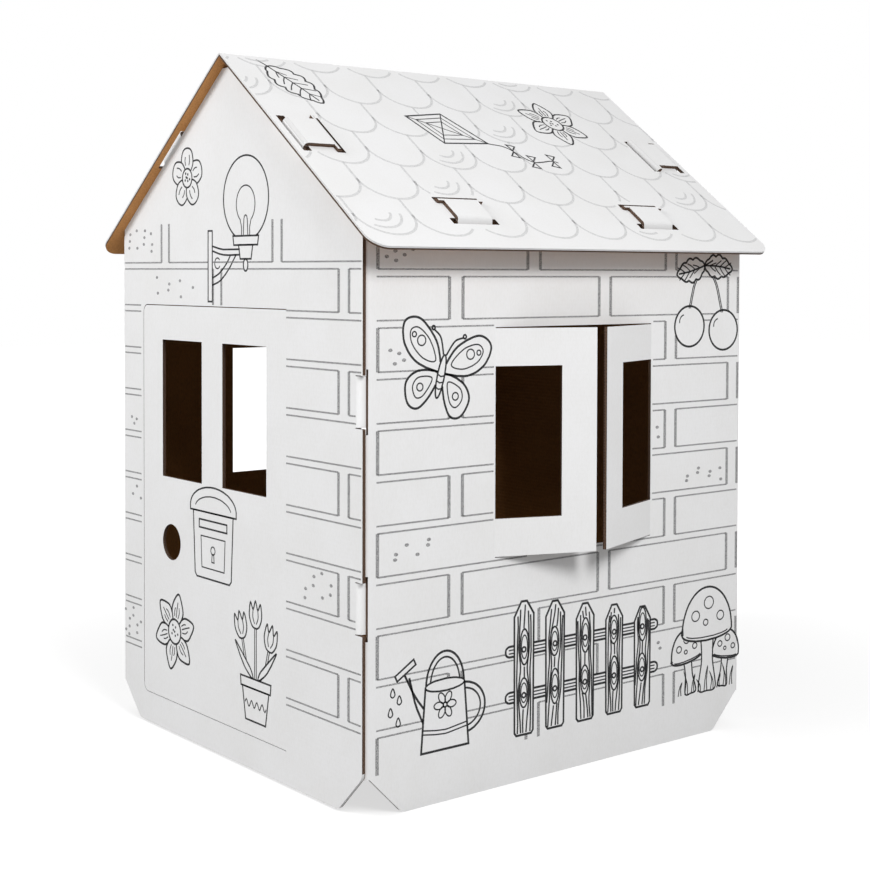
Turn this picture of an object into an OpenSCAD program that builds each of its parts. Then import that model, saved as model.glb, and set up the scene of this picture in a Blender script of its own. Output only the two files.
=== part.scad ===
// Cardboard playhouse: two folded wall sheets and a folded roof sheet, held by tabs in slots.
// Millimetres, +Z up, front gable at -Y, origin at the middle of the house on the floor.

/* [House] */
// Width over the side walls
house_width = 760; // [600:10:900]
// Length over the gables
house_length = 846; // [700:2:1000]
// Height where the roof's underside meets the side walls
wall_height = 894; // [820:1:1000]
// Rise of the roof from there to the ridge
roof_rise = 285; // [220:5:340]
// Thickness of the corrugated board
board = 6; // [4:0.5:7]
// Inner radius of every fold
fold_radius = 2; // [1:0.5:3]
// Height of the corners cut off at the floor
corner_cut = 62; // [40:1:80]
// Rounding of those cut corners
corner_round = 20; // [8:1:24]
// How far the gable walls stay above the floor
gable_lift = 4; // [0:1:8]
// Width of the flat top of a gable
apex_flat = 42; // [20:1:60]
// How far the folds stop below the roof
fold_relief = 6; // [3:1:12]

/* [Door] */
// Door's free edge from the left wall
door_left = 80; // [40:1:160]
// Door width
door_width = 474; // [380:1:500]
// Door's lower edge above the floor
door_bottom = 58; // [40:1:90]
// Door height
door_height = 706; // [600:1:720]
// Rounding of the door's free corners
door_round = 15; // [6:1:30]
// Width of the cut around the door and shutters
cut_width = 1.5; // [1:0.5:3]
// Door window width
pane_width = 138; // [100:1:150]
// Door window height
pane_height = 244; // [180:1:260]
// Door window's lower edge above the floor
pane_bottom = 458; // [440:1:470]
// First door window from the door's free edge
pane_margin = 71; // [50:1:80]
// Distance between the two door windows
pane_gap = 68; // [40:1:80]
// Diameter of the hand hole
hand_hole = 64; // [40:1:70]
// Hand hole's middle from the door's free edge
hand_hole_in = 103; // [70:1:130]
// Hand hole's middle above the floor
hand_hole_height = 343; // [250:1:380]

/* [Side windows] */
// Window width, two shutters
window_width = 353; // [300:1:380]
// Window height
window_height = 367; // [320:1:390]
// Window's lower edge above the floor
window_bottom = 369; // [340:1:400]
// Window's near edge from the gable of its own sheet
window_start = 233; // [200:1:260]
// Frame left round a shutter's opening
shutter_frame = 62; // [45:1:75]
// How far the right wall's shutters stand open
shutter_angle = 20; // [5:1:60]

/* [Roof] */
// Roof beyond the gables
gable_overhang = 19; // [10:1:40]
// Roof beyond the side walls, level
eave_overhang = 51; // [30:1:70]
// Rounding of the roof's corners
roof_round = 32; // [15:1:50]
// How far the side walls stop below the roof
side_drop = 1; // [0.5:0.5:3]

/* [Roof tabs] */
// Width of a gable tab's neck
gable_neck = 74; // [50:1:80]
// Width of a gable tab's head
gable_head = 98; // [86:1:104]
// Gable tab's middle from the ridge, along the slope
gable_tab_down = 238; // [200:1:270]
// Width of a side tab's neck
eave_neck = 70; // [45:1:74]
// Width of a side tab's head
eave_head = 90; // [76:1:96]
// Side tabs' middle from the middle of the wall
eave_tab_place = 206; // [170:1:240]
// Length lying flat on the roof, gable tabs
gable_tab_flat = 50; // [40:1:60]
// Length lying flat on the roof, side tabs
eave_tab_flat = 42; // [34:1:50]
// Length of the head under the roof
head_length = 24; // [15:1:30]
// Clearance between the roof and what it rests on or carries
seat_gap = 0.3; // [0.2:0.1:1]
// Clearance of a tab in its slot, each side
slot_gap = 1.5; // [1:0.25:2.5]
// Clearance in front of a gable tab's neck
neck_gap = 7; // [1.5:0.25:8]
// Clearance behind a head where it dives through the roof
dive_gap = 7.5; // [1.5:0.25:8]

/* [Corner tabs] */
// Length of a corner tab along the corner
corner_tab = 77; // [50:1:80]
// Length of its slot
corner_slot = 98; // [90:1:110]
// Lower corner tab's middle above the floor
corner_tab_low = 319; // [250:1:360]
// Upper corner tab's middle above the floor
corner_tab_high = 629; // [560:1:680]
// How far a corner tab reaches inside
corner_tab_reach = 45; // [25:1:60]
// Inner radius of its bend
corner_tab_bend = 5; // [4:0.5:8]
// Width of the flap behind the gable
corner_flap = 60; // [40:1:75]
// Corners cut off the flap
flap_cut = 20; // [10:1:30]
// Clearance between a tab and the board beside it
lay_gap = 0.5; // [0.25:0.25:1]

/* [Hidden] */
$fn = 64;
half_width = house_width / 2;
half_length = house_length / 2;
roof_slope = atan(roof_rise / half_width);
fold_outer = fold_radius + board;
// an arc is this much larger or smaller where it would only graze a straight edge
graze = 0.05;
// overlap between two pieces of the same sheet
lap = 1;
shutter = window_width / 2;
shutter_opening = shutter - shutter_frame;
// roof: underside at the ridge, panel length along the underside, angle turned by a side tab
under_apex = wall_height + roof_rise;
panel_length = (half_width + eave_overhang) / cos(roof_slope);
roof_length = house_length + 2 * gable_overhang;
eave_turn = 90 - roof_slope;
side_top = wall_height - side_drop;
fold_top = wall_height - fold_relief;
// middle of a side tab's bend, and the same point measured down the roof
bend_x = half_width - fold_outer;
bend_rise = board + seat_gap - fold_radius;
bend_z = under_apex - bend_x * tan(roof_slope) + bend_rise / cos(roof_slope);
bend_down = (bend_x - bend_rise * sin(roof_slope)) / cos(roof_slope);
// corner tab: outer radius of its bend and the middle of that bend
corner_outer = board + corner_tab_bend;
corner_x = half_width - board - lay_gap - corner_outer;
corner_heights = [corner_tab_low, corner_tab_high];

// Ring piece between two angles less than 180 degrees apart.
module ring_part(outer, inner, from, to) {
  intersection() {
    difference() {
      circle(r = outer);
      circle(r = inner);
    }
    rotate(from) translate([-2 * outer, 0]) square([4 * outer, 2 * outer]);
    rotate(to) translate([-2 * outer, -2 * outer]) square([4 * outer, 2 * outer]);
  }
}

// Bend between two upright boards, with a lap of flat board at each end.
module bend(outer, from, to) {
  rotate(from) translate([outer - board, -lap]) square([board, lap]);
  ring_part(outer, outer - board, from, to);
  rotate(to) translate([outer - board, 0]) square([board, lap]);
}

// Bend to a sloping board: slightly larger and 7 degrees longer, so that it meets both boards cleanly.
module sloping_bend(outer, from, to) {
  ring_part(outer + graze, outer + graze - board, from - 7, to + 7);
}

// Rounds the end of a 45 degree cut where it meets the x axis.
module cut_end(cut) {
  near = (1 - cos(45)) * corner_round;
  far = tan(22.5) * corner_round;
  difference() {
    polygon([[cut - near, near], [cut - near, -1], [cut + far, -1], [cut + far, 0]]);
    translate([cut + far, corner_round]) circle(r = corner_round + graze);
  }
}

// Shape taken off a wall's lower corner at the origin; a raw corner is rounded at both ends.
module cut_corner(cut, raw) {
  polygon([[-1, -1], [cut + 1, -1], [-1, cut + 1]]);
  cut_end(cut);
  if (raw) mirror([1, -1]) cut_end(cut);
}

// Rectangle with its two left corners rounded.
module left_rounded(x, y, wide, high, round) {
  translate([x + round, y]) square([wide - round, high]);
  translate([x, y + round]) square([round, high - 2 * round]);
  for (side = [round, high - round])
    translate([x + round, y + side]) circle(r = round);
}

// Cut round the door on three sides, its two windows and the hand hole.
module door_cuts() {
  difference() {
    left_rounded(door_left, door_bottom, door_width, door_height, door_round);
    left_rounded(door_left + cut_width, door_bottom + cut_width, door_width + 1,
      door_height - 2 * cut_width, door_round - cut_width);
  }
  for (side = [0, 1])
    translate([door_left + pane_margin + side * (pane_width + pane_gap), pane_bottom])
      square([pane_width, pane_height]);
  translate([door_left + hand_hole_in, hand_hole_height]) circle(d = hand_hole);
}

// Gable from outside, its fold at x = 0 and its raw end, with the corner tabs, at the right.
module gable_outline(door) {
  apex_x = half_width - apex_flat / 2;
  eave_z = wall_height - seat_gap;
  apex_z = eave_z + apex_x * tan(roof_slope);
  difference() {
    polygon([[fold_outer, gable_lift], [house_width, gable_lift], [house_width, eave_z],
      [house_width - apex_x, apex_z], [apex_x, apex_z],
      [fold_outer, eave_z + fold_outer * tan(roof_slope)]]);
    translate([fold_outer, gable_lift]) cut_corner(corner_cut - gable_lift, false);
    translate([house_width, gable_lift]) mirror([1, 0]) cut_corner(corner_cut, true);
    for (height = corner_heights)
      translate([half_width + corner_x, height - corner_tab / 2 - cut_width])
        square([3 * corner_outer, corner_tab + 2 * cut_width]);
    if (door) door_cuts();
  }
}

// Side wall, its gable fold at x = 0 and its flap fold at the other end.
module side_outline() {
  start = fold_outer;
  end = house_length - board - fold_outer;
  difference() {
    translate([start, 0]) square([end - start, side_top]);
    translate([start, 0]) cut_corner(corner_cut, false);
    translate([end, 0]) mirror([1, 0]) cut_corner(corner_cut, false);
    translate([window_start, window_bottom]) square([window_width, window_height]);
  }
}

// Shutter in plan: hinge on its outer face at the origin, board towards -y, free end at +x.
module shutter_plan(angle) {
  rotate(angle) translate([0, -board]) square([shutter - cut_width / 2, board]);
  intersection() {
    circle(r = board - graze);
    polygon([[0, 0], 9 * board * [cos(260), sin(260)], 9 * board * [cos(280 + angle), sin(280 + angle)]]);
  }
}

// Shutter with its opening, which reaches the hinge.
module shutter_board(angle) {
  difference() {
    translate([0, 0, window_bottom + cut_width])
      linear_extrude(window_height - 2 * cut_width) shutter_plan(angle);
    translate([0, 0, window_bottom + shutter_frame])
      linear_extrude(window_height - 2 * shutter_frame)
        rotate(angle) translate([-4 * board, -3 * board]) square([4 * board + shutter_opening, 5 * board]);
  }
}

// Section of a roof tab about the middle of its first bend: up the wall, then flat on the roof.
module tab_neck(turn, flat) {
  translate([fold_radius, -4 * board]) square([board, 4 * board]);
  sloping_bend(fold_outer, 0, turn);
  rotate(turn) translate([fold_radius, 0]) square([board, flat]);
}

// The same tab's wider head, which dives through the second slot.
module tab_head(turn, flat) {
  rotate(turn) translate([0, flat]) {
    translate([fold_radius, -2 * lap]) square([board, 2 * lap]);
    bend(fold_outer, 0, 90);
    translate([-head_length, fold_radius]) square([head_length, board]);
  }
}

// Frame of the right slope: x down the underside from the ridge, z square to it.
module on_slope(side) {
  mirror([side < 0 ? 1 : 0, 0, 0]) translate([0, 0, under_apex]) rotate([0, roof_slope, 0]) children();
}

// Tab of the front gable on one slope.
module gable_tab(side) {
  on_slope(side) translate([gable_tab_down, fold_outer - half_length, bend_rise])
    rotate([90, 0, 90]) mirror([1, 0, 0]) {
      linear_extrude(gable_neck, center = true) tab_neck(90, gable_tab_flat);
      linear_extrude(gable_head, center = true) tab_head(90, gable_tab_flat);
    }
}

// Tab of the left side wall.
module side_tab(place) {
  mirror([1, 0, 0]) translate([bend_x, place, bend_z]) rotate([90, 0, 0]) {
    linear_extrude(eave_neck, center = true) tab_neck(eave_turn, eave_tab_flat);
    linear_extrude(eave_head, center = true) tab_head(eave_turn, eave_tab_flat);
  }
}

// Tab at the gable's raw end: round the corner and along the inside of the other sheet.
module corner_tab_board(height) {
  translate([corner_x, corner_outer - half_length, height - corner_tab / 2]) linear_extrude(corner_tab) {
    bend(corner_outer, -90, 0);
    translate([-2 * lap, -corner_outer]) square([2 * lap, board]);
    translate([corner_outer - board, 0]) square([board, corner_tab_reach]);
  }
}

// Slot for the other sheet's corner tab, across the fold of the flap.
module corner_slot_space(height) {
  translate([-half_width, half_length - board, height - corner_slot / 2]) linear_extrude(corner_slot) {
    translate([-1, 1 - board]) square([2 * board, board]);
    translate([board, -fold_outer]) square([corner_outer + lay_gap + slot_gap, 2 * board]);
  }
}

// Flap behind the other sheet's gable, and the fold that joins it to the side wall.
module flap() {
  end = board + corner_flap;
  translate([-half_width + fold_outer, half_length - board - fold_outer, corner_cut])
    linear_extrude(fold_top - corner_cut) bend(fold_outer, 90, 180);
  translate([-half_width, half_length - board, 0]) rotate([90, 0, 0]) linear_extrude(board)
    polygon([[fold_outer, corner_cut], [end - flap_cut, corner_cut], [end, corner_cut + flap_cut],
      [end, fold_top - flap_cut], [end - flap_cut, fold_top], [fold_outer, fold_top]]);
}

// One wall sheet: gable at the front and side wall at the left.
module wall_sheet(door, angle) {
  translate([-half_width, board - half_length, 0]) rotate([90, 0, 0])
    linear_extrude(board) gable_outline(door);
  translate([fold_outer - half_width, fold_outer - half_length, corner_cut])
    linear_extrude(fold_top - corner_cut) bend(fold_outer, 180, 270);
  translate([-half_width, -half_length, 0]) rotate([90, 0, 90])
    linear_extrude(board) side_outline();
  difference() {
    flap();
    for (height = corner_heights) corner_slot_space(height);
  }
  for (height = corner_heights) corner_tab_board(height);
  for (side = [-1, 1]) gable_tab(side);
  for (side = [-1, 1]) side_tab(side * eave_tab_place);
  translate([-half_width, window_start - half_length, 0]) rotate(90) shutter_board(angle);
  translate([-half_width, window_start + window_width - half_length, 0])
    rotate(90) mirror([1, 0, 0]) shutter_board(angle);
}

// One roof panel in plan: x down the slope, with its slots.
module roof_panel() {
  half = roof_length / 2;
  start = fold_radius * tan(roof_slope);
  gable_slot = gable_head + 2 * slot_gap;
  eave_slot = eave_head + 2 * slot_gap;
  difference() {
    translate([start, -half]) square([panel_length - start, 2 * half]);
    for (end = [-1, 1]) scale([1, end]) {
      difference() {
        translate([panel_length - roof_round, half - roof_round]) square(roof_round + 1);
        translate([panel_length - roof_round, half - roof_round]) circle(r = roof_round + graze);
      }
      translate([gable_tab_down - gable_slot / 2, half_length - fold_outer - lay_gap])
        square([gable_slot, fold_outer + lay_gap + neck_gap]);
      translate([gable_tab_down - gable_slot / 2, half_length - 2 * fold_outer - gable_tab_flat - dive_gap])
        square([gable_slot, fold_outer + lay_gap + dive_gap]);
      translate([bend_down - lay_gap, eave_tab_place - eave_slot / 2])
        square([half_width / cos(roof_slope) + slot_gap + lay_gap - bend_down, eave_slot]);
      translate([bend_down - eave_tab_flat - fold_outer - dive_gap, eave_tab_place - eave_slot / 2])
        square([fold_outer + dive_gap + lay_gap, eave_slot]);
    }
  }
}

module front_and_left_wall() {
  color("white") wall_sheet(true, 0);
}

module right_and_back_wall() {
  color("white") rotate([0, 0, 180]) wall_sheet(false, shutter_angle);
}

module roof() {
  color("whitesmoke") {
    for (side = [-1, 1]) on_slope(side) linear_extrude(board) roof_panel();
    translate([0, roof_length / 2, under_apex - fold_radius / cos(roof_slope)]) rotate([90, 0, 0])
      linear_extrude(roof_length) sloping_bend(fold_outer, eave_turn, 90 + roof_slope);
  }
}

front_and_left_wall();
right_and_back_wall();
roof();
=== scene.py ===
import math
import bpy
import numpy as np
from mathutils import Matrix, Vector


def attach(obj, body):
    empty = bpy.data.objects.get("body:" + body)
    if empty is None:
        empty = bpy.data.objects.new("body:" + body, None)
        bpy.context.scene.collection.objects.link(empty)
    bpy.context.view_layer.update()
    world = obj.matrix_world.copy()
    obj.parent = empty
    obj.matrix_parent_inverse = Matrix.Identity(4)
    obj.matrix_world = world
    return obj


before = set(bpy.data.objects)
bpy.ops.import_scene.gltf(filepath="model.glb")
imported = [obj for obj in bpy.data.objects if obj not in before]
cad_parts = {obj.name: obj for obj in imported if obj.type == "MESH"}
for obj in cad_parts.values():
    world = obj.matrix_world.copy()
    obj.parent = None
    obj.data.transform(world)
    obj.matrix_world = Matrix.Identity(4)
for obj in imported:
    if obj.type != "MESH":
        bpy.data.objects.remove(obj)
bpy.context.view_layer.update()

print("frame loaded:", sorted(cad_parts))

# The house's driving sizes in metres, the same as the CAD part's
house = {
    "halfWidth": 0.380, "halfLength": 0.423, "wallHeight": 0.894, "roofRise": 0.285,
    "board": 0.006, "foldOuter": 0.008, "tabBend": 0.005, "layGap": 0.0005,
    "gableTabDown": 0.238, "sideTabPlace": 0.206,
    "shutterAngle": 20.0, "windowStart": 0.233, "windowWidth": 0.353,
}
slope = math.atan2(house["roofRise"], house["halfWidth"])
ridgeUnder = house["wallHeight"] + house["roofRise"]


def addNode(tree, kind, x, y, inputs={}, **settings):
    # makes a node at a place; an input is linked where a socket is given, and else set to the value
    node = tree.nodes.new(kind)
    node.location = (x, y)
    for name, value in settings.items():
        setattr(node, name, value)
    for key, value in inputs.items():
        socket = node.inputs[key]
        if isinstance(value, bpy.types.NodeSocket):
            tree.links.new(value, socket)
        elif value is not None:
            socket.default_value = (*value, 1.0) if socket.type == "RGBA" else value
    return node


def mathNode(tree, operation, a, b, x, y, c=None):
    return addNode(tree, "ShaderNodeMath", x, y, {0: a, 1: b, 2: c}, operation=operation).outputs[0]


def noiseNode(tree, vector, scale, detail, x, y):
    inputs = {"Vector": vector, "Scale": scale, "Detail": detail}
    return addNode(tree, "ShaderNodeTexNoise", x, y, inputs).outputs["Fac"]


def mixColour(tree, factor, first, second, x, y):
    inputs = {0: factor, 6: first, 7: second}      # the mix node's own numbers for its colours
    return addNode(tree, "ShaderNodeMix", x, y, inputs, data_type="RGBA").outputs[2]


def smoothRange(tree, value, low, high, x, y, start=0.0, end=1.0):
    inputs = {"Value": value, "From Min": low, "From Max": high, "To Min": start, "To Max": end}
    return addNode(tree, "ShaderNodeMapRange", x, y, inputs, interpolation_type="SMOOTHSTEP").outputs["Result"]


def startGroup(name, inputs, outputs):
    group = bpy.data.node_groups.new(name, "ShaderNodeTree")
    for label, kind, default in inputs:
        socket = group.interface.new_socket(name=label, in_out="INPUT", socket_type="NodeSocket" + kind)
        if default is not None:
            socket.default_value = default
    for label, kind in outputs:
        group.interface.new_socket(name=label, in_out="OUTPUT", socket_type="NodeSocket" + kind)
    source = addNode(group, "NodeGroupInput", -900, 0)
    sink = addNode(group, "NodeGroupOutput", 900, 0)
    return group, source.outputs, sink.inputs


# Paper: a liner's fine fibres, soft blotches and the faint washboard of the flutes beneath.
def makePaperGroup():
    group, given, result = startGroup(
        "paperLiner",
        [("Vector", "Vector", None), ("Light", "Color", (1, 1, 1, 1)), ("Dark", "Color", (0.5, 0.5, 0.5, 1)),
         ("Fibre", "Float", 0.5), ("Flute Pitch", "Float", 0.007), ("Washboard", "Float", 0.3)],
        [("Color", "Color"), ("Roughness", "Float"), ("Height", "Float")])
    vector = given["Vector"]
    longer = addNode(group, "ShaderNodeMapping", -700, 300, {"Vector": vector, "Scale": (1.0, 1.0, 0.35)})
    fibre = noiseNode(group, longer.outputs["Vector"], 420, 4, -500, 300)
    blotch = noiseNode(group, vector, 9, 3, -500, 0)
    fleck = noiseNode(group, vector, 900, 1, -500, -250)
    fibreMask = smoothRange(group, fibre, 0.35, 0.75, -300, 300)
    blotchMask = smoothRange(group, blotch, 0.3, 0.75, -300, 0)
    dark = mathNode(group, "MULTIPLY", fibreMask, given["Fibre"], -100, 250)
    soft = mathNode(group, "MULTIPLY", blotchMask, 0.35, -100, 60)
    amount = mathNode(group, "ADD", dark, soft, 80, 180)
    group.links.new(mixColour(group, amount, given["Light"], given["Dark"], 300, 200), result["Color"])
    group.links.new(mathNode(group, "MULTIPLY_ADD", fleck, 0.2, 300, -100, 0.62), result["Roughness"])
    # the flutes run level, so their ridges repeat up the board
    parts = addNode(group, "ShaderNodeSeparateXYZ", -700, -450, {0: vector})
    turns = mathNode(group, "DIVIDE", parts.outputs["Z"], given["Flute Pitch"], -500, -450)
    angle = mathNode(group, "MULTIPLY", turns, 2 * math.pi, -320, -450)
    wave = mathNode(group, "SINE", angle, None, -140, -450)
    ridge = mathNode(group, "MULTIPLY", wave, given["Washboard"], 40, -450)
    grain = mathNode(group, "MULTIPLY", fibre, 0.4, 40, -300)
    group.links.new(mathNode(group, "ADD", ridge, grain, 240, -400), result["Height"])
    return group


# Cut edge of double-wall board: three liners and two waves of fluting, light paper round hollows painted dark
# as their shade.
# The vector's X goes through the board from its outer face and Z runs across the flutes.
def makeCutEdgeGroup():
    group, given, result = startGroup(
        "cutEdge",
        [("Vector", "Vector", None), ("Thickness", "Float", 0.006), ("Paper", "Color", (0.4, 0.25, 0.13, 1)),
         ("Hollow", "Color", (0.05, 0.03, 0.02, 1)), ("Liner", "Color", (0.8, 0.8, 0.8, 1)),
         ("Lip", "Float", 0.1)],
        [("Color", "Color"), ("Height", "Float")])
    vector = given["Vector"]
    parts = addNode(group, "ShaderNodeSeparateXYZ", -700, 0, {0: vector})
    depth = mathNode(group, "DIVIDE", parts.outputs["X"], given["Thickness"], -700, 200)
    depth = mathNode(group, "FRACT", depth, None, -520, 200)
    middles, masks = [], []
    for row, (middle, swing, pitch) in enumerate(((0.29, 0.19, 0.0068), (0.74, 0.17, 0.0048))):
        angle = mathNode(group, "MULTIPLY", parts.outputs["Z"], 2 * math.pi / pitch, -520, -200 * row)
        wave = mathNode(group, "SINE", angle, None, -350, -200 * row)
        middles.append((mathNode(group, "MULTIPLY_ADD", wave, swing, -180, -200 * row, middle), 0.09, 0.04))
    middles += [(middle, 0.075, 0.035) for middle in (0.03, 0.515, 0.97)]
    for row, (middle, faint, full) in enumerate(middles):
        gap = mathNode(group, "SUBTRACT", depth, middle, -10, -180 * row)
        gap = mathNode(group, "ABSOLUTE", gap, None, 140, -180 * row)
        masks.append(smoothRange(group, gap, faint, full, 300, -180 * row))
    paper = masks[0]
    for step, mask in enumerate(masks[1:]):
        paper = mathNode(group, "MAXIMUM", paper, mask, 460 + 60 * step, -100 * step)
    frayed = noiseNode(group, vector, 700, 3, 300, 320)
    worn = mathNode(group, "MULTIPLY", smoothRange(group, frayed, 0.45, 0.7, 460, 320), 0.45, 620, 320)
    solid = mathNode(group, "MAXIMUM", paper, worn, 760, 150)
    # the hollows between the paper get the dark colour: painted shade inside the flutes
    board = mixColour(group, solid, given["Hollow"], given["Paper"], 820, 300)
    # the white liner is pressed over the edge by the cutting blade
    lip = mathNode(group, "SUBTRACT", given["Lip"], depth, 460, 640)
    pressed = mathNode(group, "MULTIPLY_ADD", frayed, 0.16, 620, 520, lip)
    edge = smoothRange(group, pressed, 0.05, 0.12, 780, 520)
    group.links.new(mixColour(group, edge, board, given["Liner"], 1000, 300), result["Color"])
    group.links.new(solid, result["Height"])
    return group


paperGroup = makePaperGroup()
cutEdgeGroup = makeCutEdgeGroup()


def blankTree(owner):
    owner.use_nodes = True
    owner.node_tree.nodes.clear()
    return owner.node_tree


def startMaterial(name, specular, roughness=0.5):
    material = bpy.data.materials.new(name)
    tree = blankTree(material)
    shader = addNode(tree, "ShaderNodeBsdfPrincipled", 600, 0,
                     {"Specular IOR Level": specular, "Roughness": roughness})
    addNode(tree, "ShaderNodeOutputMaterial", 900, 0, {0: shader.outputs[0]})
    coordinates = addNode(tree, "ShaderNodeTexCoord", -900, 0)
    mapping = addNode(tree, "ShaderNodeMapping", -700, 0, {"Vector": coordinates.outputs["Object"]})
    return material, tree, shader.inputs, mapping


def addBump(tree, given, height, distance):
    bump = addNode(tree, "ShaderNodeBump", 400, -300, {"Distance": distance, "Height": height})
    tree.links.new(bump.outputs["Normal"], given["Normal"])


# Liner papers: light and dark tones, fibre strength and ridge height in metres
whitePaper = {"fibre": 0.35, "ridge": 0.000012}
brownPaper = {"fibre": 0.7, "ridge": 0.00006}
linerLooks = {
    "whiteLiner": dict(whitePaper, light=(0.86, 0.86, 0.865), dark=(0.79, 0.785, 0.775)),
    # the roof's liner: a darker copy of the white liner, painted shade that evens out the brighter light on
    # the roof
    "roofLiner": dict(whitePaper, light=(0.745, 0.745, 0.75), dark=(0.685, 0.68, 0.67)),
    # a still darker copy of the white liner: painted shade on the gable tabs' bends
    "creasedLiner": dict(whitePaper, light=(0.60, 0.60, 0.605), dark=(0.54, 0.535, 0.525)),
    "kraftLiner": dict(brownPaper, light=(0.60, 0.285, 0.095), dark=(0.42, 0.185, 0.055)),
    # a darker copy of the kraft liner: painted shade for the inside of the house
    "innerKraft": dict(brownPaper, light=(0.30, 0.130, 0.036), dark=(0.20, 0.085, 0.022)),
}


def makeLiner(name, look):
    material, tree, given, mapping = startMaterial(name, 0.3)
    paper = addNode(tree, "ShaderNodeGroup", 0, 0, {
        "Vector": mapping.outputs["Vector"], "Light": look["light"], "Dark": look["dark"],
        "Fibre": look["fibre"], "Washboard": 1.0}, node_tree=paperGroup)
    tree.links.new(paper.outputs["Color"], given["Base Color"])
    tree.links.new(paper.outputs["Roughness"], given["Roughness"])
    addBump(tree, given, paper.outputs["Height"], look["ridge"])
    return material


# Cut edges: a point on the board's outer face, the way through the board and the way across the
# flutes, and how far the white liner is pressed over the edge. The foot edges show mostly liner.
edgeTurns = {}
for name, origin, through in (("Front", (0, -house["halfLength"], 0), (0, 1, 0)),
                              ("Back", (0, house["halfLength"], 0), (0, -1, 0)),
                              ("Left", (-house["halfWidth"], 0, 0), (1, 0, 0)),
                              ("Right", (house["halfWidth"], 0, 0), (-1, 0, 0))):
    for kind, lip in (("cut", 0.06), ("foot", 0.82)):
        edgeTurns[kind + name] = {"origin": origin, "through": through, "across": (0, 0, 1), "lip": lip}
for name, side in (("Left", -1), ("Right", 1)):
    normal = (side * math.sin(slope), 0, math.cos(slope))
    origin = tuple(house["board"] * n + (ridgeUnder if k == 2 else 0) for k, n in enumerate(normal))
    for kind, lip in (("cutRoof", 0.50), ("slot", 0.04)):
        edgeTurns[kind + name] = {"origin": origin, "through": tuple(-n for n in normal),
                                  "across": (side * math.cos(slope), 0, -math.sin(slope)), "lip": lip}
# the cut edge's paper, and the painted shade in its flute hollows
edgePaper, hollowShade = (0.17, 0.105, 0.072), (0.035, 0.02, 0.014)
fluteDepth = 0.0004


def makeCutEdge(name, turn):
    material, tree, given, mapping = startMaterial(name, 0.2, 0.85)
    through, across = Vector(turn["through"]), Vector(turn["across"])
    turned = Matrix((through, across.cross(through), across))          # rows: the new X, Y and Z axes
    mapping.inputs["Rotation"].default_value = turned.to_euler("XYZ")
    mapping.inputs["Location"].default_value = -(turned @ Vector(turn["origin"]))
    edge = addNode(tree, "ShaderNodeGroup", 0, 0, {
        "Vector": mapping.outputs["Vector"], "Paper": edgePaper, "Hollow": hollowShade,
        "Lip": turn["lip"]}, node_tree=cutEdgeGroup)
    tree.links.new(edge.outputs["Color"], given["Base Color"])
    addBump(tree, given, edge.outputs["Height"], fluteDepth)
    return material


# Printing inks: colour, the paper tone that shows as grain, the grain's threshold and scale
inkLooks = {
    "greyInk": {"ink": (0.13, 0.13, 0.135), "paper": (0.55, 0.55, 0.55), "low": 0.40, "scale": 900},
    "paleInk": {"ink": (0.50, 0.50, 0.505), "paper": (0.66, 0.66, 0.66), "low": 0.40, "scale": 700},
    "blackInk": {"ink": (0.022, 0.022, 0.024), "paper": (0.09, 0.09, 0.09), "low": 0.50, "scale": 800},
}


def makeInk(name, look):
    material, tree, given, mapping = startMaterial(name, 0.25, 0.7)
    grain = noiseNode(tree, mapping.outputs["Vector"], look["scale"], 2, -300, 0)
    mask = smoothRange(tree, grain, look["low"], look["low"] + 0.22, -100, 0)
    tree.links.new(mixColour(tree, mask, look["ink"], look["paper"], 150, 0), given["Base Color"])
    return material


materials = {}
for make, looks in ((makeLiner, linerLooks), (makeCutEdge, edgeTurns), (makeInk, inkLooks)):
    for name, look in looks.items():
        materials[name] = make(name, look)
print("materials made:", len(materials))


def faceTable(mesh):
    count = len(mesh.polygons)
    centre, normal = np.zeros(count * 3), np.zeros(count * 3)
    mesh.polygons.foreach_get("center", centre)
    mesh.polygons.foreach_get("normal", normal)
    return centre.reshape(-1, 3), normal.reshape(-1, 3)


white, brown = 0, 1                                # places of the two liners in each sheet's materials


def near(value, target, reach=0.0004):
    return np.abs(value - target) < reach


def giveMaterials(mesh, names, choice):
    mesh.materials.clear()
    for name in names:
        mesh.materials.append(materials[name])
    mesh.polygons.foreach_set("material_index", choice.astype(np.int32))
    mesh.update()


footTop = 0.078                                    # the edges below this are the cut foot corners


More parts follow.
